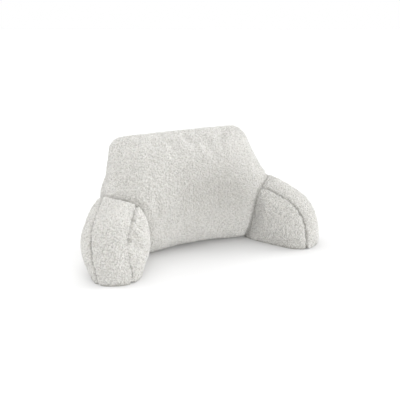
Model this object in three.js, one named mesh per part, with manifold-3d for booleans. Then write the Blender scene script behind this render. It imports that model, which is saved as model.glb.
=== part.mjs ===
// A backrest cushion with two splayed arms, sewn from short-pile fleece and filled.
// Millimetres, +Z up. The cushion rests on z = 0 and faces -Y; its width runs along X.
// The back and each arm are filled solids of their own, sewn together at the arm roots.

import * as THREE from 'three';
import Module from 'manifold-3d';
import { mergeVertices } from 'three/addons/utils/BufferGeometryUtils.js';

// Driving dimensions of the back

const backHeight = 366;         // floor to the top seam, before the seam draws it in
const topCornerRadius = 42;     // the top seam's two rounded corners, seen from the front
const topRoundHeight = 72;      // depth of the rounding under the top seam
const topTilt = 4;              // how much the right end of the top stands over its middle
const planSquareness = 2.9;     // 2 is an ellipse in plan, more is boxier
const rearSquareness = 2.4;     // how late the rear face turns in towards the side seam
const archStart = 0.15;         // the front face's arch rises between these two shares
const archEnd = 0.8;            // of the half width

// One row for each height on the back. Half width is measured to the side seam. The seam, front
// and rear columns are distances towards the rear from the line that joins the arm roots. Arch
// is how far the front face comes forward beside the arms, square is how late it then turns in
// towards the side seam, and shift is how far the level has slumped sideways, along X.
const backLevels = [
  { height: 0, halfWidth: 246, seam: 172, front: 54, rear: 186, arch: 36, square: 8, shift: 0 },
  { height: 10, halfWidth: 252, seam: 170, front: 36, rear: 197, arch: 34, square: 6.5, shift: 0 },
  { height: 30, halfWidth: 258, seam: 163, front: 17, rear: 205, arch: 31, square: 4.6, shift: 0 },
  { height: 70, halfWidth: 268, seam: 146, front: 0, rear: 212, arch: 30, square: 3.4, shift: 0 },
  { height: 120, halfWidth: 280, seam: 116, front: -9, rear: 214, arch: 33, square: 2.6, shift: 0 },
  { height: 160, halfWidth: 290, seam: 94, front: -6, rear: 212, arch: 42, square: 2.4, shift: -2 },
  { height: 200, halfWidth: 290, seam: 78, front: 8, rear: 207, arch: 38, square: 2.4, shift: -3 },
  { height: 240, halfWidth: 274, seam: 90, front: 28, rear: 200, arch: 22, square: 2.3, shift: -3 },
  { height: 290, halfWidth: 257, seam: 111, front: 54, rear: 190, arch: 8, square: 2.2, shift: -4 },
  { height: 330, halfWidth: 247, seam: 125, front: 74, rear: 183, arch: 2, square: 2.2, shift: -6 },
  { height: 366, halfWidth: 238, seam: 137, front: 90, rear: 178, arch: 0, square: 2.2, shift: -8 },
];

// Shallow folds that run down the front face from the top seam to the height of their foot
const topFolds = [
  { topX: -92, footX: -78, foot: 286, depth: 4, width: 15 },
  { topX: -22, footX: -40, foot: 268, depth: 5, width: 18 },
  { topX: 52, footX: 66, foot: 282, depth: 5, width: 17 },
  { topX: 128, footX: 112, foot: 296, depth: 4, width: 15 },
];

// Driving dimensions of an arm. Along runs from the root to the toe, across runs outwards.

const armSplay = 26;            // degrees between an arm and the cushion's middle plane
const toeX = 294;               // where the inner seam meets the floor
const toeY = -173;
const innerCrown = 38;          // the inner panel's crown over its seam
const panelFlatness = 2.3;      // 2 is a round crown, more is a broad one
const panelEdge = 0.72;         // under 1 the panel rises steeply from its seam
const poleAlong = -112;         // the crown's highest point
const poleHeight = 76;
const rootLength = 160;         // from the toe to where the outer seam has all its rise
const tuckHeight = 70;          // height from which the panels' foot is tucked in
const buried = -70;             // the arm's form runs on to this height, and is cut at the floor
const gussetRoundness = 0.7;    // under 1 the strip rises steeply from its seams

// What differs between the two arms. Gusset is the width from the inner to the outer seam, lead
// how far the outer seam stands forward of the inner one and rise how far over it at the root.
// Puff is the strip's crown over its seams and outer crown that of the outer panel. Bow is the
// share of the seams' outward bow, and tuck the share of the crown that is lost at the floor.
const armForms = {
  right: { gusset: 98, lead: -6, rise: 6, puff: 12, outerCrown: 40, bow: 0, tuck: 0.15 },
  left: { gusset: 104, lead: 8, rise: -1, puff: 18, outerCrown: 50, bow: 1, tuck: 0.42 },
};

// One row for each station round an arm's side, from the toe over the top and down its root.
// Along is measured from the toe, height from the floor, and bow outwards from the seam's plane.
// Puff is the share of the gusset's crown at the station.
const armStations = [
  { along: 1, height: buried, bow: 0, outerAlong: 1, outerHeight: buried, outerBow: 0, puff: 1 },
  { along: 1, height: 0, bow: 0, outerAlong: 1, outerHeight: 0, outerBow: 2, puff: 1 },
  { along: -2, height: 60, bow: 4, outerAlong: -2, outerHeight: 60, outerBow: 12, puff: 1 },
  { along: -16, height: 102, bow: 11, outerAlong: -16, outerHeight: 102, outerBow: 18, puff: 0.9 },
  { along: -48, height: 141, bow: 8, outerAlong: -48, outerHeight: 142, outerBow: 20, puff: 0.85 },
  { along: -92, height: 162, bow: 4, outerAlong: -96, outerHeight: 168, outerBow: 16, puff: 0.8 },
  { along: -136, height: 177, bow: 1, outerAlong: -156, outerHeight: 188, outerBow: 11, puff: 0.6 },
  { along: -170, height: 182, bow: 0, outerAlong: -217, outerHeight: 200, outerBow: 6, puff: 0.3 },
  { along: -198, height: 174, bow: 0, outerAlong: -246, outerHeight: 184, outerBow: 3, puff: 0 },
  { along: -210, height: 117, bow: 0, outerAlong: -287, outerHeight: 106, outerBow: 0, puff: 0 },
  { along: -222, height: 55, bow: 0, outerAlong: -320, outerHeight: 48, outerBow: 0, puff: 0 },
  { along: -242, height: 0, bow: 0, outerAlong: -347, outerHeight: 0, outerBow: 0, puff: 0 },
  { along: -258, height: buried, bow: 0, outerAlong: -376, outerHeight: buried, outerBow: 0, puff: 0 },
];

// Puckers gathered in along the left arm's inner seam, on its inner panel. Turn is the angle
// under level at which one runs back from the seam, in degrees. They fade out with distance.
const puckerFade = 1.6;         // distance where they end, as a multiple of their length
const puckerRise = 0.7;         // share of the panel's crown that a pucker's end stands out
const leftPuckers = [
  { along: -8, height: 70, turn: 4, length: 44, depth: 5, width: 9 },
  { along: -24, height: 98, turn: 28, length: 52, depth: 6, width: 10 },
  { along: -52, height: 128, turn: 58, length: 46, depth: 5, width: 10 },
];

// Sewing

const armSeamDepth = 6;         // how deep an arm's seams draw in
const backSeamDepth = 3;        // how deep the side and top seam draws in
const seamWidth = 6;            // distance from the seam at which the channel has mostly closed
const sewnGap = 0.35;           // clearance between the back and an arm
const groundSize = 2000;        // side of the block that cuts the arms level with the floor

// Mesh steps

const backPointsRound = 88;
const seamCrowding = 0.36;      // how far a ring's points are drawn towards the side seam
const backSideSteps = 24;
const footCrowding = 0.55;      // how far the levels are drawn towards the floor
const backTopSteps = 8;
const seamSteps = 40;
const armPointsRound = 54;
const panelSteps = [0.24, 0.46, 0.64, 0.78, 0.88, 0.95, 1];
const gussetSteps = [0.05, 0.13, 0.28, 0.5, 0.72, 0.87, 0.95];

const wasm = await Module();
wasm.setup();

// Smooth value of a column at a height, through the rows of a table.
function levelValue(rows, column, height) {
  let i = 0;
  while (i < rows.length - 2 && height > rows[i + 1].height) i += 1;
  const low = rows[i];
  const high = rows[i + 1];
  const before = rows[Math.max(i - 1, 0)];
  const after = rows[Math.min(i + 2, rows.length - 1)];
  const span = high.height - low.height;
  const t = (height - low.height) / span;
  const slopeLow = (high[column] - before[column]) / (high.height - before.height) * span;
  const slopeHigh = (after[column] - low[column]) / (after.height - low.height) * span;
  const rise = high[column] - low[column];
  const a = slopeLow + slopeHigh - 2 * rise;
  const b = 3 * rise - 2 * slopeLow - slopeHigh;
  return low[column] + t * (slopeLow + t * (b + t * a));
}

// Cosine or sine with its size raised to a power, which squares an ellipse.
function squared(value, squareness) {
  return Math.sign(value) * Math.abs(value) ** (2 / squareness);
}

// Closed surface through rings of equally many points, joined to a point at either end.
function skin(rings, firstPole, lastPole) {
  const count = rings[0].length;
  const positions = rings.flat().flatMap((point) => [point.x, point.y, point.z]);
  const triangles = [];
  for (let r = 0; r + 1 < rings.length; r += 1) {
    for (let i = 0; i < count; i += 1) {
      const a = r * count + i;
      const b = r * count + (i + 1) % count;
      triangles.push([a, b, b + count], [a, b + count, a + count]);
    }
  }
  if (firstPole) {
    const pole = positions.length / 3;
    positions.push(firstPole.x, firstPole.y, firstPole.z);
    for (let i = 0; i < count; i += 1) triangles.push([pole, (i + 1) % count, i]);
  }
  if (lastPole) {
    const pole = positions.length / 3;
    const start = (rings.length - 1) * count;
    positions.push(lastPole.x, lastPole.y, lastPole.z);
    for (let i = 0; i < count; i += 1) {
      triangles.push([pole, start + i, start + (i + 1) % count]);
    }
  }
  const loose = new THREE.BufferGeometry();
  loose.setAttribute('position', new THREE.Float32BufferAttribute(positions, 3));
  loose.setIndex(triangles.flat());
  return withoutSlivers(mergeVertices(loose, 1e-3));
}

// Drops the triangles that merging has left with two equal corners.
function withoutSlivers(geometry) {
  const index = geometry.index.array;
  const kept = [];
  for (let i = 0; i < index.length; i += 3) {
    const [a, b, c] = [index[i], index[i + 1], index[i + 2]];
    if (a !== b && b !== c && c !== a) kept.push(a, b, c);
  }
  geometry.setIndex(kept);
  geometry.computeVertexNormals();
  return geometry;
}

// Moves each point in along its normal by the depth that depthAt gives for it.
function pressIn(geometry, depthAt) {
  const position = geometry.attributes.position;
  const normal = geometry.attributes.normal;
  const point = new THREE.Vector3();
  const outward = new THREE.Vector3();
  for (let i = 0; i < position.count; i += 1) {
    point.fromBufferAttribute(position, i);
    outward.fromBufferAttribute(normal, i);
    point.addScaledVector(outward, -depthAt(point, outward));
    position.setXYZ(i, point.x, point.y, point.z);
  }
  geometry.computeVertexNormals();
}

function onFloor(point) {
  return Math.abs(point.z) < 1e-3;
}

// Depth of a channel at a distance from the line that it follows.
function channel(distance, depth, width) {
  return depth * Math.exp(-((distance / width) ** 2));
}

// Shortest distance from a point to a line of points.
function distanceToLine(point, line) {
  const near = new THREE.Vector3();
  const piece = new THREE.Line3();
  let shortest = Infinity;
  for (let i = 0; i + 1 < line.length; i += 1) {
    piece.set(line[i], line[i + 1]).closestPointToPoint(point, true, near);
    shortest = Math.min(shortest, near.distanceTo(point));
  }
  return shortest;
}

// Height of a point that is this share of the half width from the middle, with the top's tilt.
function tilted(height, across) {
  return height + topTilt * across * (height / backHeight) ** 2;
}

// Half width of the back at a height, with the top corners rounded.
function backHalfWidth(height) {
  const straight = levelValue(backLevels, 'halfWidth', height);
  const intoCorner = Math.max(0, height - (backHeight - topCornerRadius));
  return straight - topCornerRadius + Math.sqrt(topCornerRadius ** 2 - intoCorner ** 2);
}

// One level ring of the back, wound anticlockwise seen from above.
function backRing(height) {
  const intoTop = Math.max(0, height - (backHeight - topRoundHeight)) / topRoundHeight;
  const closing = Math.sqrt(Math.max(0, 1 - intoTop ** 2));
  const halfWidth = backHalfWidth(height);
  const seam = levelValue(backLevels, 'seam', height);
  const front = seam - levelValue(backLevels, 'front', height);
  const rear = levelValue(backLevels, 'rear', height) - seam;
  const arch = levelValue(backLevels, 'arch', height);
  const square = levelValue(backLevels, 'square', height);
  const shift = levelValue(backLevels, 'shift', height);
  const ring = [];
  for (let i = 0; i < backPointsRound; i += 1) {
    const even = 2 * Math.PI * i / backPointsRound;
    const angle = even - seamCrowding * Math.sin(2 * even);
    const across = squared(Math.cos(angle), planSquareness);
    const facesFront = Math.sin(angle) < 0;
    const depth = squared(Math.sin(angle), facesFront ? square : rearSquareness);
    const archShare = THREE.MathUtils.smoothstep(Math.abs(across), archStart, archEnd);
    const reach = facesFront ? front + arch * archShare : rear;
    ring.push(new THREE.Vector3(
      shift + across * halfWidth,
      seam + reach * depth * closing,
      tilted(height, across),
    ));
  }
  return ring;
}

// Line of the side and top seam, from the floor on the right over the top to the left.
function backSeam() {
  const line = [];
  for (let i = -seamSteps; i <= seamSteps; i += 1) {
    const height = backHeight * Math.cos(Math.PI / 2 * i / seamSteps);
    const side = -Math.sign(i);
    line.push(new THREE.Vector3(
      levelValue(backLevels, 'shift', height) + side * backHalfWidth(height),
      levelValue(backLevels, 'seam', height),
      tilted(height, side),
    ));
  }
  return line;
}

// Depth that the folds under the top seam press into the front face at a point.
function topFoldDepth(point) {
  let depth = 0;
  for (const fold of topFolds) {
    const down = (backHeight - point.z) / (backHeight - fold.foot);
    if (down < 0 || down > 1) continue;
    const line = THREE.MathUtils.lerp(fold.topX, fold.footX, down);
    depth += channel(point.x - line, fold.depth * Math.sin(Math.PI * down), fold.width);
  }
  return depth;
}

// The back's filled form, before its seam and folds are pressed in.
function backForm() {
  const rings = [];
  const shoulder = backHeight - topRoundHeight;
  for (let i = 0; i < backSideSteps; i += 1) {
    const share = i / backSideSteps;
    rings.push(backRing(shoulder * share * (1 - footCrowding + footCrowding * share)));
  }
  for (let i = 0; i <= backTopSteps; i += 1) {
    rings.push(backRing(shoulder + topRoundHeight * Math.sin(Math.PI / 2 * i / backTopSteps)));
  }
  const baseMiddle = (backLevels[0].front + backLevels[0].rear) / 2;
  return skin(rings, new THREE.Vector3(0, baseMiddle, 0), null);
}

function backCushion() {
  const geometry = backForm();
  const seam = backSeam();
  pressIn(geometry, (point, outward) => {
    if (onFloor(point)) return 0;
    const fold = outward.y < 0 ? topFoldDepth(point) : 0;
    return fold + channel(distanceToLine(point, seam), backSeamDepth, seamWidth);
  });
  return geometry;
}

// Point of an arm from its own directions: along, across and height.
function armPoint(along, across, height) {
  const splay = THREE.MathUtils.degToRad(armSplay);
  return new THREE.Vector3(
    toeX + along * Math.sin(splay) + across * Math.cos(splay),
    toeY - along * Math.cos(splay) + across * Math.sin(splay),
    height,
  );
}

// Closed curve of an arm's seam, as along, bow and height, from three columns of the stations.
function seamLoop(columns, form, lead, rise) {
  const [along, bow, height] = columns;
  const corners = armStations.map((row) => {
    const towardsRoot = Math.min(1, Math.max(0, -row[along] / rootLength));
    return new THREE.Vector3(row[along] + lead, row[bow] * form.bow, row[height] + rise * towardsRoot);
  });
  const curve = new THREE.CatmullRomCurve3(corners, true, 'centripetal');
  const loop = [];
  for (let i = 0; i < armPointsRound; i += 1) loop.push(curve.getPoint(i / armPointsRound));
  return loop;
}

// Rings of an inner or outer panel, from near its crown out to its seam.
function panelRings(loop, seamAcross, crown, tuck) {
  return panelSteps.map((share) => {
    const rise = crown * (1 - share ** panelFlatness) ** panelEdge;
    return loop.map((corner) => {
      const along = THREE.MathUtils.lerp(poleAlong, corner.x, share);
      const height = THREE.MathUtils.lerp(poleHeight, corner.z, share);
      const overTuck = THREE.MathUtils.clamp(height / tuckHeight, 0, 1);
      const kept = 1 - tuck * (1 - overTuck) ** 2;
      return armPoint(along, seamAcross + corner.y * share + rise * kept, height);
    });
  });
}

// Rings of the gusset strip between the two seams, crowned outwards.
function gussetRings(innerLoop, outerLoop, form) {
  return gussetSteps.map((share) => innerLoop.map((corner, i) => {
    const before = innerLoop[(i + armPointsRound - 1) % armPointsRound];
    const after = innerLoop[(i + 1) % armPointsRound];
    const outward = new THREE.Vector3(after.z - before.z, 0, before.x - after.x).normalize();
    const station = i / armPointsRound * armStations.length;
    const here = armStations[Math.floor(station)].puff;
    const next = armStations[Math.ceil(station) % armStations.length].puff;
    const puff = form.puff * THREE.MathUtils.lerp(here, next, station % 1);
    const spot = new THREE.Vector3().lerpVectors(corner, outerLoop[i], share);
    spot.addScaledVector(outward, puff * (1 - (2 * share - 1) ** 2) ** gussetRoundness);
    return armPoint(spot.x, form.gusset * share + spot.y, spot.z);
  }));
}

// Depth that the puckers beside the inner seam press into the inner panel at a point.
function puckerDepth(point, puckers) {
  let depth = 0;
  for (const pucker of puckers) {
    const turn = THREE.MathUtils.degToRad(pucker.turn);
    const start = armPoint(pucker.along, 0, pucker.height);
    const end = armPoint(
      pucker.along - pucker.length * Math.cos(turn),
      -innerCrown * puckerRise,
      pucker.height - pucker.length * Math.sin(turn),
    );
    const faded = Math.max(0, 1 - start.distanceTo(point) / (puckerFade * pucker.length));
    depth += channel(distanceToLine(point, [start, end]), pucker.depth * faded, pucker.width);
  }
  return depth;
}

// An arm as it stands on the right, before its foot and root are cut.
function armForm(form, puckers) {
  const innerLoop = seamLoop(['along', 'bow', 'height'], form, 0, 0);
  const outerLoop = seamLoop(['outerAlong', 'outerBow', 'outerHeight'], form, form.lead, form.rise);
  const rings = [
    ...panelRings(innerLoop, 0, -innerCrown, form.tuck),
    ...gussetRings(innerLoop, outerLoop, form),
    ...panelRings(outerLoop, form.gusset, form.outerCrown, form.tuck).reverse(),
  ].reverse();
  const innerPole = armPoint(poleAlong, -innerCrown, poleHeight);
  const outerPole = armPoint(poleAlong, form.gusset + form.outerCrown, poleHeight);
  const geometry = skin(rings, outerPole, innerPole);
  const innerSeam = innerLoop.map((spot) => armPoint(spot.x, spot.y, spot.z));
  const outerSeam = outerLoop.map((spot) => armPoint(spot.x, form.gusset + spot.y, spot.z));
  pressIn(geometry, (point) => {
    const inner = channel(distanceToLine(point, innerSeam), armSeamDepth, seamWidth);
    const outer = channel(distanceToLine(point, outerSeam), armSeamDepth, seamWidth);
    return inner + outer + puckerDepth(point, puckers);
  });
  return geometry;
}

function mirrored(geometry) {
  const copy = geometry.clone().applyMatrix4(new THREE.Matrix4().makeScale(-1, 1, 1));
  const index = copy.index.array;
  for (let i = 0; i < index.length; i += 3) [index[i], index[i + 1]] = [index[i + 1], index[i]];
  return copy;
}

// The same form with every point moved out, but level with the floor along its lower edge.
function grown(geometry, distance) {
  const copy = geometry.clone();
  pressIn(copy, (point, outward) => {
    if (onFloor(point)) outward.setZ(0).normalize();
    return -distance;
  });
  return copy;
}

function solidFrom(geometry) {
  const bare = geometry.clone();
  bare.deleteAttribute('normal');
  bare.deleteAttribute('uv');
  const merged = mergeVertices(bare, 1e-4);
  return new wasm.Manifold(new wasm.Mesh({
    numProp: 3,
    vertProperties: new Float32Array(merged.attributes.position.array),
    triVerts: new Uint32Array(merged.index.array),
  }));
}

function geometryFrom(solid) {
  const mesh = solid.getMesh();
  const geometry = new THREE.BufferGeometry();
  geometry.setAttribute('position', new THREE.BufferAttribute(mesh.vertProperties, 3));
  geometry.setIndex(new THREE.BufferAttribute(mesh.triVerts, 1));
  geometry.computeVertexNormals();
  return geometry;
}

// Block that fills the room under the floor.
function underFloor() {
  const block = new THREE.BoxGeometry(groundSize, groundSize, groundSize);
  block.translate(0, 0, -groundSize / 2);
  return block;
}

const fleece = new THREE.Color('#d9d8d2');

function fleeceMesh(name, geometry) {
  const material = new THREE.MeshStandardMaterial({ color: fleece, roughness: 1, metalness: 0 });
  const mesh = new THREE.Mesh(geometry, material);
  mesh.name = name;
  return mesh;
}

const back = backCushion();
const rightForm = armForm(armForms.right, []);
const leftForm = mirrored(armForm(armForms.left, leftPuckers));

const cutter = solidFrom(grown(backForm(), sewnGap)).add(solidFrom(underFloor()));
const rightArm = solidFrom(rightForm).subtract(cutter);
const leftArm = solidFrom(leftForm).subtract(cutter);

const cushion = new THREE.Group();
cushion.add(fleeceMesh('back_cushion', geometryFrom(solidFrom(back))));
cushion.add(fleeceMesh('right_arm_cushion', geometryFrom(rightArm)));
cushion.add(fleeceMesh('left_arm_cushion', geometryFrom(leftArm)));

// The origin is the middle of the cushion's footprint box, at floor level.
const reach = new THREE.Box3().setFromObject(cushion);
const middle = reach.getCenter(new THREE.Vector3());
cushion.position.set(-middle.x, -middle.y, -reach.min.z);
cushion.updateMatrixWorld(true);

export default cushion;
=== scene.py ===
# A backrest cushion with two splayed arms, sewn from light grey teddy fleece, on a white floor.

import math

import bmesh
import bpy
import numpy as np
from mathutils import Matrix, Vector
from mathutils.bvhtree import BVHTree


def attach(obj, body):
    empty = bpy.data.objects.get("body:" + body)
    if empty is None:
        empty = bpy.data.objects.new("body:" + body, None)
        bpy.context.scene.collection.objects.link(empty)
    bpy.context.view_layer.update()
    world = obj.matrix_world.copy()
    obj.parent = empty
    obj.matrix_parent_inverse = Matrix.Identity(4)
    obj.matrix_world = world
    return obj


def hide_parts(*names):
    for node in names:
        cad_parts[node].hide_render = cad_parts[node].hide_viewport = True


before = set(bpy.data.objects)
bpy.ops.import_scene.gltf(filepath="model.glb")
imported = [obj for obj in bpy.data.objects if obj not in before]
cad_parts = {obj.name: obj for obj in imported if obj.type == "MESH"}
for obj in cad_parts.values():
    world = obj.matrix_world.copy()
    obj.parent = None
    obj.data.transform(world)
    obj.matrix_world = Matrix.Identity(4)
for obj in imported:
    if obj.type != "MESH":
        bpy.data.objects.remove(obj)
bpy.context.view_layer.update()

# The cushion's own directions. Metres, +Z up; it faces -Y and its width runs along X.
MIDDLE = np.array((0.0118, -0.0179, 0.0))   # floor point midway between the arm roots
BACK_HEIGHT = 0.366                         # floor to the top seam
TOP_TILT = 0.004                            # how much the top's right end stands over its middle
TOP_CORNER_RADIUS = 0.042
ARM_SPLAY = math.radians(26)
TOE = np.array((0.294, -0.173, 0.0))        # where an arm's inner seam meets the floor
ROOT_LENGTH = 0.16                          # from the toe to where the outer seam has all its rise

# The back's side seam by height: distance from the middle, distance to the rear, sideways slump.
SIDE_SEAM = (
    {"height": 0.000, "half_width": 0.246, "rear": 0.172, "slump": 0.000},
    {"height": 0.010, "half_width": 0.252, "rear": 0.170, "slump": 0.000},
    {"height": 0.030, "half_width": 0.258, "rear": 0.163, "slump": 0.000},
    {"height": 0.070, "half_width": 0.268, "rear": 0.146, "slump": 0.000},
    {"height": 0.120, "half_width": 0.280, "rear": 0.116, "slump": 0.000},
    {"height": 0.160, "half_width": 0.290, "rear": 0.094, "slump": -0.002},
    {"height": 0.200, "half_width": 0.290, "rear": 0.078, "slump": -0.003},
    {"height": 0.240, "half_width": 0.274, "rear": 0.090, "slump": -0.003},
    {"height": 0.290, "half_width": 0.257, "rear": 0.111, "slump": -0.004},
    {"height": 0.330, "half_width": 0.247, "rear": 0.125, "slump": -0.006},
    {"height": 0.366, "half_width": 0.238, "rear": 0.137, "slump": -0.008},
)

# An arm's two seams, from the toe over the top and down the root. Along is measured from the
# toe towards the root, height from the floor and bow outwards from the seam's plane.
BURIED = -0.07              # the line closes under the floor, where no cloth is
INNER_SEAM = (
    {"along": 0.001, "height": BURIED, "bow": 0.000},
    {"along": 0.001, "height": 0.000, "bow": 0.000},
    {"along": -0.002, "height": 0.060, "bow": 0.004},
    {"along": -0.016, "height": 0.102, "bow": 0.011},
    {"along": -0.048, "height": 0.141, "bow": 0.008},
    {"along": -0.092, "height": 0.162, "bow": 0.004},
    {"along": -0.136, "height": 0.177, "bow": 0.001},
    {"along": -0.170, "height": 0.182, "bow": 0.000},
    {"along": -0.198, "height": 0.174, "bow": 0.000},
    {"along": -0.210, "height": 0.117, "bow": 0.000},
    {"along": -0.222, "height": 0.055, "bow": 0.000},
    {"along": -0.242, "height": 0.000, "bow": 0.000},
    {"along": -0.258, "height": BURIED, "bow": 0.000},
)
OUTER_SEAM = (
    {"along": 0.001, "height": BURIED, "bow": 0.000},
    {"along": 0.001, "height": 0.000, "bow": 0.002},
    {"along": -0.002, "height": 0.060, "bow": 0.012},
    {"along": -0.016, "height": 0.102, "bow": 0.018},
    {"along": -0.048, "height": 0.142, "bow": 0.020},
    {"along": -0.096, "height": 0.168, "bow": 0.016},
    {"along": -0.156, "height": 0.188, "bow": 0.011},
    {"along": -0.217, "height": 0.200, "bow": 0.006},
    {"along": -0.246, "height": 0.184, "bow": 0.003},
    {"along": -0.287, "height": 0.106, "bow": 0.000},
    {"along": -0.320, "height": 0.048, "bow": 0.000},
    {"along": -0.347, "height": 0.000, "bow": 0.000},
    {"along": -0.376, "height": BURIED, "bow": 0.000},
)

# What differs between the arms: the strip's width, how far its outer seam leads and rises over
# the inner one, and the share of the seams' bow.
ARMS = {
    "right": {"side": 1, "gusset": 0.098, "lead": -0.006, "rise": 0.006, "bow": 0.0},
    "left": {"side": -1, "gusset": 0.104, "lead": 0.008, "rise": -0.001, "bow": 1.0},
}

# Soft folds down the front face from the top edge: sideways and up from the middle.
TOP_FOLDS = (
    {"from": (-0.066, 0.362), "to": (-0.050, 0.288), "depth": 0.0060, "width": 0.011},
    {"from": (-0.122, 0.356), "to": (-0.104, 0.306), "depth": 0.0035, "width": 0.012},
    {"from": (0.006, 0.364), "to": (0.030, 0.284), "depth": 0.0052, "width": 0.014},
    {"from": (0.066, 0.352), "to": (0.080, 0.250), "depth": 0.0055, "width": 0.020},
    {"from": (0.126, 0.366), "to": (0.106, 0.276), "depth": 0.0045, "width": 0.013},
)
FRONT_DEPTH = 0.07          # how far behind the middle a fold's line is drawn, before it is laid down

# Puckers gathered in along the left arm's inner seam: along, across and height.
PUCKERS = (
    {"from": (-0.112, 0.002, 0.164), "to": (-0.112, -0.022, 0.132), "depth": 0.0060, "width": 0.0065},
    {"from": (-0.083, 0.006, 0.153), "to": (-0.090, -0.024, 0.106), "depth": 0.0090, "width": 0.0065},
    {"from": (-0.052, 0.008, 0.136), "to": (-0.056, -0.022, 0.078), "depth": 0.0090, "width": 0.0065},
    {"from": (-0.030, 0.009, 0.108), "to": (-0.080, -0.028, 0.074), "depth": 0.0090, "width": 0.0070},
    {"from": (-0.010, 0.006, 0.066), "to": (-0.056, -0.024, 0.050), "depth": 0.0060, "width": 0.0080},
    {"from": (-0.004, 0.002, 0.038), "to": (-0.046, -0.020, 0.022), "depth": 0.0055, "width": 0.0065},
    {"from": (-0.096, 0.003, 0.156), "to": (-0.084, 0.024, 0.164), "depth": 0.0055, "width": 0.0050},
    {"from": (-0.033, 0.008, 0.112), "to": (-0.026, 0.024, 0.120), "depth": 0.0055, "width": 0.0050},
)

# Filling and sewing: each form starts smaller by the inset and swells. The cap is the farthest that
# a point may swell, and spare the share of extra cloth, which gathers into puckers.
FILLING = {
    "back": {"voxel": 0.0056, "inset": 0.0010, "cap": 0.010, "spare": 0.008, "fill": 0.75},
    "right": {"voxel": 0.0036, "inset": 0.0020, "cap": 0.009, "spare": 0.020, "fill": 0.80},
    "left": {"voxel": 0.0036, "inset": 0.0040, "cap": 0.008, "spare": 0.022, "fill": 0.80},
}
SWELLING_STEPS = 20
HOLD_REACH = 0.007          # the cloth is held within this distance of a seam
TOUCH_REACH = 0.008         # and of the cushion that it is sewn to
BASE_REACH = 0.006          # and of the floor
SEWN_REACH = 0.002          # nearer than this to its neighbour, the cloth lies against it
SEAM_DEPTH = 0.0050         # how deep the thread draws an arm's pile in, beyond the filling's own dip
EDGE_DEPTH = 0.0015         # and the back's, along its side and top seam
SEAM_WIDTH = 0.0031
SEAM_WAVES = ((0.0041, 0.4), (0.0067, 2.1), (0.0113, 4.0))      # length and start of its strayings
SEAM_WANDER = 0.0012        # how far a seam strays from its line to either side
CREASE_DEPTH = 0.0025       # how deep the cloth turns in beside the cushion that it is sewn to
CREASE_WIDTH = 0.007
CLEARANCE = 0.0009          # between the back and an arm
NEAR = 0.02                 # what lies farther off than this is left out of fine measures

# Where the middle of the forward-facing front panel is painted darker, as shade: sideways, up, and how far
# each way.
FRONT_SHADE_MIDDLE = (0.03, 0.18)
FRONT_SHADE_REACH = (0.20, 0.10)

# How far from the thread, the neighbour and the floor the pile is painted with shade (of the seam grooves,
# of the crease beside the neighbour and of the floor contact) or lies flat, and how strongly it does.
PAINTED_SHADE_WIDTH = {"seam": 0.0019, "touch": 0.0030, "floor": 0.0038}
PAINTED_SHADE_STRENGTH = {"seam": 0.85, "touch": 0.6, "floor": 0.8, "painted_front_shade": 0.38}
FLAT_WIDTH = {"seam": 0.0030, "floor": 0.0022}
FLATNESS = 0.3              # beside a seam, where 1 is quite flat

# Teddy fleece: curls that are raised on the mesh, and strands that are only colour and relief.
CURL_SIZE = 0.0046
SMALL_CURL = 0.5                    # the small curls' share of the large ones' size
PILE_HEIGHT = 0.0036
PILE_LEVEL = 0.65                   # the height of a curl that stays where the bare cloth was
STRAND_SIZE = 0.0026
RELIEF_DEPTH = 0.0028
TIP_COLOUR = (0.95, 0.935, 0.895, 1)
# The root tone is painted shade in the dips between curls, mixed with tone that differs at random.
ROOT_TONE_AND_DIP_SHADE = (0.50, 0.485, 0.44, 1)
# Painted shade colour: blended in along the seam grooves, the crease where an arm meets the back, the floor
# contact and the front panel's middle.
PAINTED_SHADE_COLOUR = (0.36, 0.345, 0.31, 1)
RELIEF_SHARES = {"large": 0.6, "small": 0.3, "strand": 0.35}
SHADE_SHARES = {"large": 0.55, "small": 0.4, "strand": 0.5, "broad": 0.1}
SHADE_RANGE = (-0.25, 0.62)         # shades that are all root colour and all tip colour
BROAD_SCALE = 16.0                  # of slow changes of shade, per metre

# The view and the light: each sun's direction, power and spread in degrees.
CAMERA_AZIMUTH, CAMERA_ELEVATION = -27.39, 15.8     # degrees
CAMERA_DISTANCE, CAMERA_LENS = 1.9192, 54.6         # metres, millimetres
CAMERA_AIM = (0.0118, -0.0179, 0.1595)
FLOOR_REACH = 200
FLOOR_COLOUR = (0.78, 0.78, 0.78, 1)
ROOM_LIGHT = 0.38
SUNS = (
    {"name": "top_light", "from": (0.05, 0.25, 1.00), "power": 1.95, "spread": 70},
    {"name": "right_light", "from": (0.95, -0.10, 0.25), "power": 2.1, "spread": 40},
    {"name": "left_light", "from": (-0.70, 0.60, 0.32), "power": 2.05, "spread": 40},
    {"name": "front_light", "from": (-0.07, -1.00, 0.08), "power": 2.75, "spread": 60},
)


def column(rows, name):
    return np.array([row[name] for row in rows])


def smooth_value(rows, name, height):
    """Smooth values of a column of a table at the heights."""
    heights, values = column(rows, "height"), column(rows, name)
    slopes = np.gradient(values, heights)
    low = np.clip(np.searchsorted(heights, height) - 1, 0, len(rows) - 2)
    span = heights[low + 1] - heights[low]
    t = (height - heights[low]) / span
    rise = values[low + 1] - values[low]
    start, end = slopes[low] * span, slopes[low + 1] * span
    return values[low] + t * (start + t * (3 * rise - 2 * start - end + t * (start + end - 2 * rise)))


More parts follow.
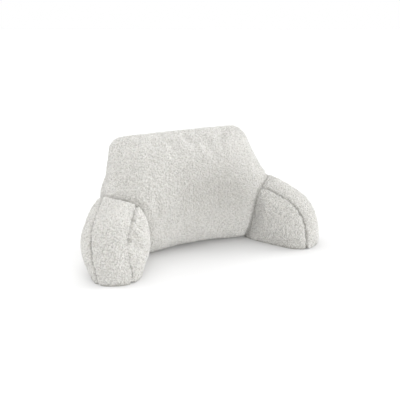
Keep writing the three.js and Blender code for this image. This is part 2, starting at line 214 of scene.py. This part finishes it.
def side_seam():
    """The back's side and top seam, from the floor on the right over the top to the left."""
    turn = np.linspace(-math.pi / 2, math.pi / 2, 241)
    height, side = BACK_HEIGHT * np.cos(turn), -np.sign(turn)
    into_corner = np.maximum(0, height - (BACK_HEIGHT - TOP_CORNER_RADIUS))
    drawn_in = TOP_CORNER_RADIUS - np.sqrt(TOP_CORNER_RADIUS ** 2 - into_corner ** 2)
    half_width = smooth_value(SIDE_SEAM, "half_width", height) - drawn_in
    line = np.stack((
        smooth_value(SIDE_SEAM, "slump", height) + side * half_width,
        smooth_value(SIDE_SEAM, "rear", height),
        height + TOP_TILT * side * (height / BACK_HEIGHT) ** 2,
    ), 1)
    return line + MIDDLE


def closed_curve(corners, steps=8):
    """Centripetal curve through the corners of a closed loop."""
    points = []
    count = len(corners)
    for i in range(count):
        before, start, end, after = (corners[(i + k) % count] for k in (-1, 0, 1, 2))
        gaps = [np.linalg.norm(b - a) ** 0.5 for a, b in ((before, start), (start, end), (end, after))]
        first, middle, last = gaps
        leave = ((start - before) / first - (end - before) / (first + middle)
                 + (end - start) / middle) * middle
        arrive = ((end - start) / middle - (after - start) / (middle + last)
                  + (after - end) / last) * middle
        for t in np.arange(steps) / steps:
            points.append(start + t * (leave + t * (3 * (end - start) - 2 * leave - arrive
                                                    + t * (leave + arrive - 2 * (end - start)))))
    points.append(points[0])
    return np.array(points)


def arm_point(arm, along, across, height):
    """Points of an arm from its own directions: along, across and height."""
    x = TOE[0] + along * math.sin(ARM_SPLAY) + across * math.cos(ARM_SPLAY)
    y = TOE[1] - along * math.cos(ARM_SPLAY) + across * math.sin(ARM_SPLAY)
    return np.stack((arm["side"] * x, y, np.broadcast_to(height, np.shape(x))), -1) + MIDDLE


def arm_seam(arm, rows, across, lead=0.0, rise=0.0):
    """One of an arm's seams, as a closed line that dips under the floor."""
    along, height = column(rows, "along"), column(rows, "height")
    rooted = np.clip(-along / ROOT_LENGTH, 0, 1)
    corners = np.stack((along + lead, across + column(rows, "bow") * arm["bow"], height + rise * rooted), 1)
    curve = closed_curve(corners)
    return arm_point(arm, curve[:, 0], curve[:, 1], curve[:, 2])


def distance_to_line(points, line, chunk=8000):
    """Shortest distances from the points to a line of points."""
    start, run = line[:-1], np.diff(line, axis=0)
    length = np.maximum((run ** 2).sum(1), 1e-12)
    out = np.empty(len(points))
    for i in range(0, len(points), chunk):
        away = points[i:i + chunk, None, :] - start[None]
        share = np.clip((away * run).sum(2) / length, 0, 1)
        out[i:i + chunk] = np.linalg.norm(away - share[..., None] * run, axis=2).min(1)
    return out


def channel(distance, width):
    """1 on a line and falling off softly beside it."""
    return np.exp(-((distance / width) ** 2))


def coordinates(mesh):
    co = np.empty(len(mesh.vertices) * 3)
    mesh.vertices.foreach_get("co", co)
    return co.reshape(-1, 3)


def place(mesh, points):
    mesh.vertices.foreach_set("co", points.astype(np.float32).ravel())
    mesh.update()


def normals(mesh):
    found = np.empty(len(mesh.vertices) * 3, np.float32)
    mesh.vertex_normals.foreach_get("vector", found)
    return found.reshape(-1, 3).astype(float)


def get_attribute(mesh, name):
    values = np.empty(len(mesh.vertices), np.float32)
    mesh.attributes[name].data.foreach_get("value", values)
    return values.astype(float)


def set_attribute(mesh, name, values):
    attribute = mesh.attributes.get(name) or mesh.attributes.new(name, "FLOAT", "POINT")
    attribute.data.foreach_set("value", values.astype(np.float32))


def new_object(name, mesh):
    piece = bpy.data.objects.new(name, mesh)
    bpy.context.scene.collection.objects.link(piece)
    return piece


def bake_modifiers(piece):
    """Replaces a piece's mesh by what its modifiers make of it."""
    evaluated = piece.evaluated_get(bpy.context.evaluated_depsgraph_get())
    mesh = bpy.data.meshes.new_from_object(evaluated)
    piece.modifiers.clear()
    piece.data = mesh
    return mesh


def seat_form(node, name):
    """The CAD solid of a node as one merged mesh in a new object."""
    form = bmesh.new()
    form.from_mesh(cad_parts[node].data)
    bmesh.ops.remove_doubles(form, verts=form.verts, dist=1e-5)
    mesh = bpy.data.meshes.new(name)
    form.to_mesh(mesh)
    form.free()
    mesh.materials.clear()
    return new_object(name, mesh)


def drop_crumbs(mesh):
    """Deletes all but the largest part, since a remesh can leave crumbs beyond a thin edge."""
    form = bmesh.new()
    form.from_mesh(mesh)
    unseen, parts = set(form.verts), []
    while unseen:
        part, edge = set(), {next(iter(unseen))}
        while edge:
            part |= edge
            edge = {link.other_vert(vert) for vert in edge for link in vert.link_edges} - part
        unseen -= part
        parts.append(part)
    parts.sort(key=len)
    crumbs = [vert for part in parts[:-1] for vert in part]
    bmesh.ops.delete(form, geom=crumbs, context="VERTS")
    form.to_mesh(mesh)
    form.free()


def nearest_distances(trees, points):
    """Distance from each point to the nearest of the surfaces."""
    return np.array([min(tree.find_nearest(Vector(point))[3] for tree in trees) for point in points])


def tree_of(mesh):
    form = bmesh.new()
    form.from_mesh(mesh)
    tree = BVHTree.FromBMesh(form)
    form.free()
    return tree


def swell(piece, held, cap, spare):
    """Fills the piece under pressure, as cloth that is sewn down where held is 1."""
    start = coordinates(piece.data)
    group = piece.vertex_groups.new(name="held")
    for index in np.flatnonzero(held > 0.01):
        group.add([int(index)], float(held[index]), "REPLACE")
    cloth = piece.modifiers.new("filling", "CLOTH")
    cloth.settings.quality = 4
    cloth.settings.mass = 0.3
    cloth.settings.tension_stiffness = 18
    cloth.settings.compression_stiffness = 12
    cloth.settings.bending_stiffness = 14
    cloth.settings.shrink_min = -spare
    cloth.settings.use_pressure = True
    cloth.settings.uniform_pressure_force = 4
    cloth.settings.effector_weights.gravity = 0
    cloth.settings.vertex_group_mass = "held"
    cloth.collision_settings.use_collision = False
    cloth.collision_settings.use_self_collision = False
    for step in range(1, SWELLING_STEPS + 1):
        bpy.context.scene.frame_set(step)
    mesh = bake_modifiers(piece)
    moved = coordinates(mesh) - start
    length = np.linalg.norm(moved, axis=1)
    moved *= (cap * np.tanh(length / cap) / np.maximum(length, 1e-9))[:, None]
    place(mesh, start + moved)
    bpy.context.scene.frame_set(1)
    piece.vertex_groups.clear()


def filled_form(node, name, filling, seams, touching):
    """Remeshed and swollen form of a cushion, held at its seams, its base and what it touches."""
    piece = seat_form(node, name)
    remesh = piece.modifiers.new("even", "REMESH")
    remesh.mode = "VOXEL"
    remesh.voxel_size = filling["voxel"]
    mesh = bake_modifiers(piece)
    drop_crumbs(mesh)
    points = coordinates(mesh)
    seam_distance = np.min([distance_to_line(points, line) for line in seams], axis=0)
    touch_distance = nearest_distances(touching, points)
    base = channel(points[:, 2], BASE_REACH)
    held = np.max([channel(seam_distance, HOLD_REACH), channel(touch_distance, TOUCH_REACH), base], axis=0)
    outward = normals(mesh)
    outward[:, 2] *= 1 - base
    sewn = np.maximum(channel(touch_distance, SEWN_REACH), channel(seam_distance, HOLD_REACH))
    place(mesh, points - outward * (filling["inset"] * (1 - sewn))[:, None])
    set_attribute(mesh, "seam_distance", seam_distance)
    set_attribute(mesh, "touch_distance", touch_distance)
    swell(piece, held, filling["cap"], filling["spare"])
    smooth = piece.modifiers.new("smooth", "SUBSURF")
    smooth.levels = smooth.render_levels = 1
    bake_modifiers(piece)
    on_floor(piece.data)
    return piece


def node(tree, kind):
    return tree.nodes.new(kind)


def feed(tree, socket, value):
    """Links a value that comes from a node, or sets a plain one."""
    if isinstance(value, bpy.types.NodeSocket):
        tree.links.new(value, socket)
    else:
        socket.default_value = value


def maths(tree, operation, *values):
    step = node(tree, "ShaderNodeMath")
    step.operation = operation
    for socket, value in zip(step.inputs, values):
        feed(tree, socket, value)
    return step.outputs[0]


def vector_maths(tree, operation, first, second):
    step = node(tree, "ShaderNodeVectorMath")
    step.operation = operation
    feed(tree, step.inputs[0], first)
    feed(tree, step.inputs["Scale" if operation == "SCALE" else 1], second)
    return step.outputs[0]


def noise(tree, place, scale, detail=2.0, output="Fac"):
    step = node(tree, "ShaderNodeTexNoise")
    feed(tree, step.inputs["Vector"], place)
    feed(tree, step.inputs["Scale"], scale)
    step.inputs["Detail"].default_value = detail
    return step.outputs[output]


def smooth_step(tree, value, low, high):
    step = node(tree, "ShaderNodeMapRange")
    step.interpolation_type = "SMOOTHSTEP"
    feed(tree, step.inputs["Value"], value)
    feed(tree, step.inputs["From Min"], low)
    feed(tree, step.inputs["From Max"], high)
    return step.outputs["Result"]


def strayed(tree, place, size, reach):
    """The place, pushed about by a soft noise, so that cells read there curl and wander."""
    push = noise(tree, place, maths(tree, "DIVIDE", 1.0, size), 1.0, "Color")
    push = vector_maths(tree, "SUBTRACT", push, (0.5, 0.5, 0.5))
    return vector_maths(tree, "ADD", place, vector_maths(tree, "SCALE", push, reach))


def curls(tree, place, size):
    """Height, 0 to 1, of soft tufts of this size with dips between them."""
    place = strayed(tree, place, maths(tree, "MULTIPLY", size, 2.2), maths(tree, "MULTIPLY", size, 1.5))
    place = strayed(tree, place, maths(tree, "MULTIPLY", size, 0.8), maths(tree, "MULTIPLY", size, 0.9))
    cells = node(tree, "ShaderNodeTexVoronoi")
    cells.feature = "SMOOTH_F1"
    feed(tree, cells.inputs["Vector"], place)
    feed(tree, cells.inputs["Scale"], maths(tree, "DIVIDE", 1.0, size))
    cells.inputs["Smoothness"].default_value = 0.35
    return smooth_step(tree, cells.outputs["Distance"], 0.72, 0.12)


def strands(tree, place, size):
    """Height, 0 to 1, of fine strands that wind about, one every size or so."""
    place = strayed(tree, place, 0.004, 0.006)
    wave = noise(tree, place, 1 / size, 1.5)
    ridge = maths(tree, "ABSOLUTE", maths(tree, "SUBTRACT", wave, 0.5))
    return smooth_step(tree, ridge, 0.16, 0.0)


def group_socket(tree, name, kind, value=None, way="INPUT"):
    socket = tree.interface.new_socket(name=name, in_out=way, socket_type="NodeSocket" + kind)
    if value is not None:
        socket.default_value = value


def fleece_group():
    """Colour and fine relief of teddy fleece, from the pile's own height and the seams: painted shade in
    the dips between curls and along the seams, creases, floor contact and the front panel's middle.
    """
    tree = bpy.data.node_groups.new("fleece_look", "ShaderNodeTree")
    group_socket(tree, "Tip Colour", "Color", TIP_COLOUR)
    group_socket(tree, "Root Tone And Dip Shade", "Color", ROOT_TONE_AND_DIP_SHADE)
    group_socket(tree, "Painted Shade Colour", "Color", PAINTED_SHADE_COLOUR)
    group_socket(tree, "Curl Size", "Float", CURL_SIZE)
    group_socket(tree, "Colour", "Color", way="OUTPUT")
    group_socket(tree, "Relief", "Float", way="OUTPUT")
    inside, out = node(tree, "NodeGroupInput"), node(tree, "NodeGroupOutput")
    size = inside.outputs["Curl Size"]
    rest = attribute(tree, "rest_place", "Vector")
    large = curls(tree, rest, size)
    small = curls(tree, rest, maths(tree, "MULTIPLY", size, SMALL_CURL))
    strand = strands(tree, rest, STRAND_SIZE)
    broad = noise(tree, rest, BROAD_SCALE, 2.0)
    relief = maths(tree, "MULTIPLY_ADD", small, RELIEF_SHARES["small"],
                   maths(tree, "MULTIPLY", large, RELIEF_SHARES["large"]))
    relief = maths(tree, "MULTIPLY_ADD", strand, RELIEF_SHARES["strand"], relief)
    # Dips between the curls take the root tone, painted shade between the tufts; strands and the broad
    # noise add tone that differs at random.
    shade = maths(tree, "MULTIPLY_ADD", small, SHADE_SHARES["small"],
                  maths(tree, "MULTIPLY", large, SHADE_SHARES["large"]))
    for part, name in ((broad, "broad"), (strand, "strand")):
        share = SHADE_SHARES[name]
        shade = maths(tree, "ADD", shade, maths(tree, "MULTIPLY_ADD", part, share, -share / 2))
    colour = blend_colour(tree, smooth_step(tree, shade, *SHADE_RANGE),
                          inside.outputs["Root Tone And Dip Shade"], inside.outputs["Tip Colour"])
    # The front panel's middle is painted darker, as shade.
    painted_front_shade = maths(tree, "MULTIPLY", attribute(tree, "painted_front_shade", "Fac"), PAINTED_SHADE_STRENGTH["painted_front_shade"])
    # Painted shade of the seam grooves, the crease beside the neighbour and the floor contact, joined with
    # the front's painted shade.
    painted_shade = maths(tree, "MAXIMUM", attribute(tree, "seam", "Fac"), painted_front_shade)
    colour = blend_colour(tree, painted_shade, colour, inside.outputs["Painted Shade Colour"])
    feed(tree, out.inputs["Colour"], colour)
    feed(tree, out.inputs["Relief"], relief)
    return tree


def attribute(tree, name, output):
    step = node(tree, "ShaderNodeAttribute")
    step.attribute_name = name
    return step.outputs[output]


def blend_colour(tree, share, low, high):
    mix = node(tree, "ShaderNodeMix")
    mix.data_type = "RGBA"
    feed(tree, mix.inputs[0], share)
    feed(tree, mix.inputs[6], low)
    feed(tree, mix.inputs[7], high)
    return mix.outputs[2]


def fleece_material():
    material = bpy.data.materials.new("teddy_fleece")
    material.use_nodes = True
    tree = material.node_tree
    shader = tree.nodes["Principled BSDF"]
    look = node(tree, "ShaderNodeGroup")
    look.node_tree = fleece_group()
    look.inputs["Curl Size"].default_value = CURL_SIZE
    feed(tree, shader.inputs["Base Color"], look.outputs["Colour"])
    bump = node(tree, "ShaderNodeBump")
    bump.inputs["Strength"].default_value = 1.0
    bump.inputs["Distance"].default_value = RELIEF_DEPTH
    feed(tree, bump.inputs["Height"], look.outputs["Relief"])
    feed(tree, shader.inputs["Normal"], bump.outputs["Normal"])
    shader.inputs["Roughness"].default_value = 1.0
    shader.inputs["Specular IOR Level"].default_value = 0.12
    shader.inputs["Sheen Weight"].default_value = 1.0
    shader.inputs["Sheen Roughness"].default_value = 0.35
    return material


def pile_tree(material):
    """Geometry nodes that raise the fleece's curls on a piece, and keep where each point was."""
    tree = bpy.data.node_groups.new("raise_pile", "GeometryNodeTree")
    group_socket(tree, "Geometry", "Geometry")
    group_socket(tree, "Curl Size", "Float", CURL_SIZE)
    group_socket(tree, "Pile Height", "Float", PILE_HEIGHT)
    group_socket(tree, "Geometry", "Geometry", way="OUTPUT")
    inside, out = node(tree, "NodeGroupInput"), node(tree, "NodeGroupOutput")
    place = node(tree, "GeometryNodeInputPosition").outputs[0]
    height = curls(tree, place, inside.outputs["Curl Size"])
    calm = node(tree, "GeometryNodeInputNamedAttribute")
    calm.inputs["Name"].default_value = "calm"
    free = maths(tree, "SUBTRACT", 1.0, calm.outputs[0])
    lift = maths(tree, "MULTIPLY", maths(tree, "SUBTRACT", height, PILE_LEVEL), free)
    lift = maths(tree, "MULTIPLY", lift, inside.outputs["Pile Height"])
    keep = node(tree, "GeometryNodeStoreNamedAttribute")
    keep.data_type = "FLOAT_VECTOR"
    keep.inputs["Name"].default_value = "rest_place"
    feed(tree, keep.inputs["Geometry"], inside.outputs["Geometry"])
    feed(tree, keep.inputs["Value"], place)
    move = node(tree, "GeometryNodeSetPosition")
    feed(tree, move.inputs["Geometry"], keep.outputs["Geometry"])
    feed(tree, move.inputs["Offset"],
         vector_maths(tree, "SCALE", node(tree, "GeometryNodeInputNormal").outputs[0], lift))
    real = node(tree, "GeometryNodeRealizeInstances")
    feed(tree, real.inputs["Geometry"], move.outputs["Geometry"])
    cover = node(tree, "GeometryNodeSetMaterial")
    cover.inputs["Material"].default_value = material
    feed(tree, cover.inputs["Geometry"], real.outputs["Geometry"])
    feed(tree, out.inputs["Geometry"], cover.outputs["Geometry"])
    return tree


def raise_pile(piece, tree):
    modifier = piece.modifiers.new("pile", "NODES")
    modifier.node_group = tree
    sizes = {"Curl Size": CURL_SIZE, "Pile Height": PILE_HEIGHT}
    for item in tree.interface.items_tree:
        if item.in_out == "INPUT" and item.name in sizes:
            modifier[item.identifier] = sizes[item.name]
    return bake_modifiers(piece)


def paint_front_shade(mesh):
    """Marks the middle of the front panel's forward-facing side, to be painted darker as shade."""
    points = coordinates(mesh) - MIDDLE
    away = (points[:, (0, 2)] - FRONT_SHADE_MIDDLE) / FRONT_SHADE_REACH
    painted_front_shade = np.exp(-(away ** 2).sum(1)) * np.clip(-2 * normals(mesh)[:, 1], 0, 1)
    set_attribute(mesh, "painted_front_shade", painted_front_shade)


def laid_on(tree, line):
    """The line's points moved onto a surface, and evened out along it."""
    line = np.array([tree.find_nearest(Vector(point))[0] for point in line])
    for _ in range(3):
        line[1:-1] = (line[:-2] + 2 * line[1:-1] + line[2:]) / 4
    return line


def wandering(line):
    """The line as a hand-guided seam runs: straying a little to and fro."""
    along = np.concatenate(([0], np.cumsum(np.linalg.norm(np.diff(line, axis=0), axis=1))))
    waves = [np.sin(along / length + start) for length, start in SEAM_WAVES]
    return line + SEAM_WANDER * np.stack(waves, 1)


def press_seams(mesh, seams, seam_depth):
    """Draws the surface in along the seams, and marks painted shade along the seams, in the creases beside
    the neighbour and along the floor contact, and where the pile lies flat.
    """
    points = coordinates(mesh)
    tree = tree_of(mesh)
    distance = get_attribute(mesh, "seam_distance")
    close = distance < NEAR
    sewn_lines = [wandering(laid_on(tree, line)) for line in seams]
    distance[close] = np.min([distance_to_line(points[close], line) for line in sewn_lines], axis=0)
    touch = get_attribute(mesh, "touch_distance")
    against = channel(touch, SEWN_REACH)
    crease = channel(touch, CREASE_WIDTH) * (1 - against)
    depth = seam_depth * channel(distance, SEAM_WIDTH) + CREASE_DEPTH * crease
    place(mesh, points - normals(mesh) * depth[:, None])
    under = channel(points[:, 2], FLAT_WIDTH["floor"])
    # Painted shade: darker along the seam grooves, in the crease beside the neighbour and along the floor
    # contact, where shade falls.
    painted_shade = (
        PAINTED_SHADE_STRENGTH["seam"] * seam_depth / SEAM_DEPTH * channel(distance, PAINTED_SHADE_WIDTH["seam"]),
        PAINTED_SHADE_STRENGTH["touch"] * channel(touch, PAINTED_SHADE_WIDTH["touch"]),
        PAINTED_SHADE_STRENGTH["floor"] * channel(points[:, 2], PAINTED_SHADE_WIDTH["floor"]),
    )
    set_attribute(mesh, "seam", np.max(painted_shade, axis=0))
    beside = FLATNESS * channel(distance, FLAT_WIDTH["seam"])
    set_attribute(mesh, "calm", np.max([against, under, beside], axis=0))


def press_folds(mesh, rows):
    """Presses soft valleys into the surface along lines laid down on it."""
    points, tree = coordinates(mesh), tree_of(mesh)
    depth = np.zeros(len(points))
    for row in rows:
        start, end = row["line"]
        run = end - start
        share = np.clip((points - start) @ run / (run @ run), 0, 1)
        distance = distance_to_line(points, laid_on(tree, np.linspace(start, end, 12)))
        depth += row["depth"] * np.sin(np.pi * share ** 0.6) * channel(distance, row["width"])
    place(mesh, points - normals(mesh) * depth[:, None])


def top_folds():
    """The folds with the two ends of each line in the frame's place."""
    for fold in TOP_FOLDS:
        ends = [MIDDLE + (sideways, FRONT_DEPTH, height) for sideways, height in (fold["from"], fold["to"])]
        yield {**fold, "line": ends}


def puckers(arm):
    for pucker in PUCKERS:
        yield {**pucker, "line": [arm_point(arm, *pucker[end]) for end in ("from", "to")]}


def keep_clear(mesh, tree, rounds=2):
    """Moves points out that lie in a neighbour, or too close to it."""
    points = coordinates(mesh)
    beside = np.flatnonzero(get_attribute(mesh, "touch_distance") < NEAR)
    for i in np.tile(beside, rounds):
        point = Vector(points[i])
        spot, normal, _, _ = tree.find_nearest(point)
        above = (point - spot).dot(normal)
        if above < CLEARANCE:
            points[i] += np.array(normal) * (CLEARANCE - above)
    place(mesh, points)


def on_floor(mesh):
    points = coordinates(mesh)
    points[:, 2] = np.maximum(points[:, 2], 0)
    place(mesh, points)


def dress(piece, cad_node):
    piece.data.polygons.foreach_set("use_smooth", np.ones(len(piece.data.polygons), bool))
    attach(piece, "root")
    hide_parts(cad_node)


def white_room():
    """White surroundings, which light the cushion more softly than they look."""
    world = bpy.data.worlds.new("white_room")
    world.use_nodes = True
    tree = world.node_tree
    seen = node(tree, "ShaderNodeLightPath").outputs["Is Camera Ray"]
    surround = tree.nodes["Background"]
    surround.inputs["Color"].default_value = (1, 1, 1, 1)
    feed(tree, surround.inputs["Strength"], maths(tree, "MULTIPLY_ADD", seen, 1.0 - ROOM_LIGHT, ROOM_LIGHT))
    bpy.context.scene.world = world


def white_floor():
    form = bmesh.new()
    bmesh.ops.create_grid(form, x_segments=1, y_segments=1, size=FLOOR_REACH)
    mesh = bpy.data.meshes.new("floor")
    form.to_mesh(mesh)
    form.free()
    material = bpy.data.materials.new("white_floor")
    material.use_nodes = True
    shader = material.node_tree.nodes["Principled BSDF"]
    shader.inputs["Base Color"].default_value = FLOOR_COLOUR
    shader.inputs["Roughness"].default_value = 1.0
    shader.inputs["Specular IOR Level"].default_value = 0.0
    mesh.materials.append(material)
    new_object("floor", mesh)


def soft_suns():
    for row in SUNS:
        data = bpy.data.lights.new(row["name"], "SUN")
        data.energy = row["power"]
        data.angle = math.radians(row["spread"])
        light = new_object(row["name"], data)
        light.rotation_euler = Vector(row["from"]).to_track_quat("Z", "Y").to_euler()


def camera():
    azimuth, elevation = math.radians(CAMERA_AZIMUTH), math.radians(CAMERA_ELEVATION)
    back = Vector((
        math.sin(azimuth) * math.cos(elevation),
        -math.cos(azimuth) * math.cos(elevation),
        math.sin(elevation),
    ))
    data = bpy.data.cameras.new("camera")
    data.sensor_width = 36
    data.lens = CAMERA_LENS
    eye = new_object("camera", data)
    eye.location = Vector(CAMERA_AIM) + back * CAMERA_DISTANCE
    eye.rotation_euler = back.to_track_quat("Z", "Y").to_euler()
    bpy.context.scene.camera = eye


camera()
white_room()
white_floor()
soft_suns()
bpy.context.scene.view_settings.view_transform = "Standard"
fleece = fleece_material()
pile = pile_tree(fleece)

cad_trees = {name: tree_of(cad.data) for name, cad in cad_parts.items()}
arm_trees = [cad_trees[name + "_arm_cushion"] for name in ARMS]
back_line = side_seam()
back = filled_form("back_cushion", "back_padding", FILLING["back"], [back_line], arm_trees)
press_seams(back.data, [back_line], EDGE_DEPTH)
press_folds(back.data, top_folds())
paint_front_shade(back.data)
raise_pile(back, pile)
on_floor(back.data)
back_tree = tree_of(back.data)
dress(back, "back_cushion")

for name, arm in ARMS.items():
    cad_node = name + "_arm_cushion"
    seams = (
        arm_seam(arm, INNER_SEAM, 0.0),
        arm_seam(arm, OUTER_SEAM, arm["gusset"], arm["lead"], arm["rise"]),
    )
    touching = [cad_trees["back_cushion"]]
    piece = filled_form(cad_node, name + "_arm_padding", FILLING[name], seams, touching)
    press_seams(piece.data, seams, SEAM_DEPTH)
    if name == "left":
        press_folds(piece.data, puckers(arm))
    raise_pile(piece, pile)
    keep_clear(piece.data, back_tree)
    on_floor(piece.data)
    dress(piece, cad_node)
